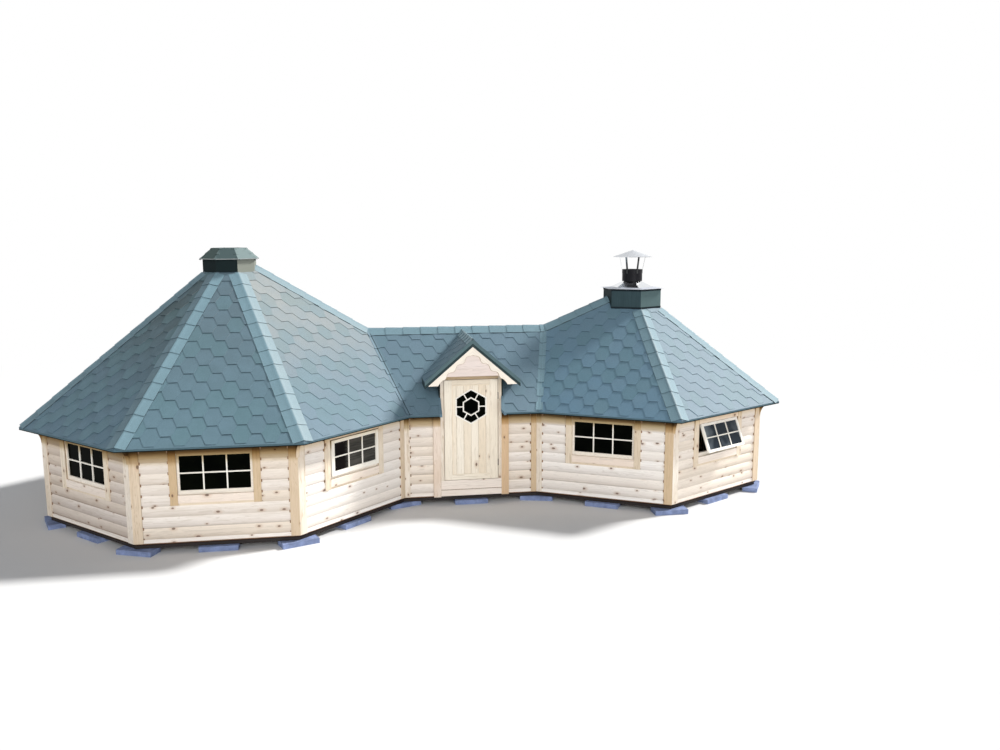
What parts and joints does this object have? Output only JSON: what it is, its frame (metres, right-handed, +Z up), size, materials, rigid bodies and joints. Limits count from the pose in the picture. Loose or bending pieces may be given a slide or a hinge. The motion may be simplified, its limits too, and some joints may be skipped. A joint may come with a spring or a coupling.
{
  "type": "log grill hut",
  "caption": "Log-built grill hut of an octagonal and a hexagonal cabin, joined by a short link with a hinged glazed door under a dormer, with a chimney and a flue.",
  "frame": {"origin": "on the ground, under the middle of the whole building", "axes": "+Z up, +X along the building from the octagonal cabin towards the hexagonal one, -Y out of the front door"},
  "size_m": [10.0582, 4.9942, 3.4787],
  "materials": {
    "concrete": null,
    "base_timber": "rough sawn timber",
    "sill_timber": "orange-brown treated timber",
    "floor_boards": "plain floor boards",
    "wall_logs": "pale pine logs with a clear stain",
    "corner_timber": "planed pine with a clear stain",
    "casing_timber": "planed pine with a warm stain",
    "window_timber": "planed pine",
    "door_timber": "planed pine with a warm stain",
    "pane": "clear window glass that looks dark",
    "hinge_steel": "zinc-plated steel",
    "shingles": "slate-grey mineral shingles over boards",
    "dark_sheet": "dark green-grey painted sheet",
    "grey_sheet": "pale grey sheet",
    "black_pipe": "matt black stove pipe",
    "bright_steel": "bare stainless sheet"
  },
  "bodies": {
    "hut": {"foundation_pads": "concrete", "bearers": "base_timber", "base_frame": "sill_timber", "floor": "floor_boards", "left_end_wall": "wall_logs", "left_front_wall": "wall_logs", "left_back_wall": "wall_logs", "left_diagonal_walls": "wall_logs", "right_end_wall": "wall_logs", "right_outer_walls": "wall_logs", "right_inner_walls": "wall_logs", "link_front_walls": "wall_logs", "link_back_wall": "wall_logs", "left_corner_boards": "corner_timber", "right_corner_boards": "corner_timber", "window_casings": "casing_timber", "window_frames": "window_timber", "window_glass": "pane", "open_window_frame": "window_timber", "open_window_sash": "window_timber", "open_window_glass": "pane", "door_frame": "door_timber", "door_threshold": "sill_timber", "door_side_boards": "casing_timber", "frame_hinge_halves": "hinge_steel", "dormer_walls": "wall_logs", "gable_panel": "door_timber", "bargeboards": "casing_timber", "dormer_roof": "shingles", "left_roof_front_slopes": "shingles", "left_roof_back_slopes": "shingles", "left_roof_end_slope": "shingles", "right_roof_front_slopes": "shingles", "right_roof_back_slopes": "shingles", "right_roof_end_slope": "shingles", "link_roof": "shingles", "left_cap_wall": "door_timber", "left_cap_roof": "shingles", "chimney_collar": "dark_sheet", "chimney_lid": "grey_sheet", "flue_pipe": "black_pipe", "rain_cap": "bright_steel"},
    "door": {"door_leaf": "door_timber", "door_glass": "pane", "leaf_hinge_halves": "hinge_steel"}
  },
  "joints": [
    {"name": "door_hinge", "type": "hinge", "parent": "hut", "child": "door", "pos_m": [1.0048, -0.99, 0.578], "axis": [0, 0, 1], "range_deg": [0, 90]}
  ]
}
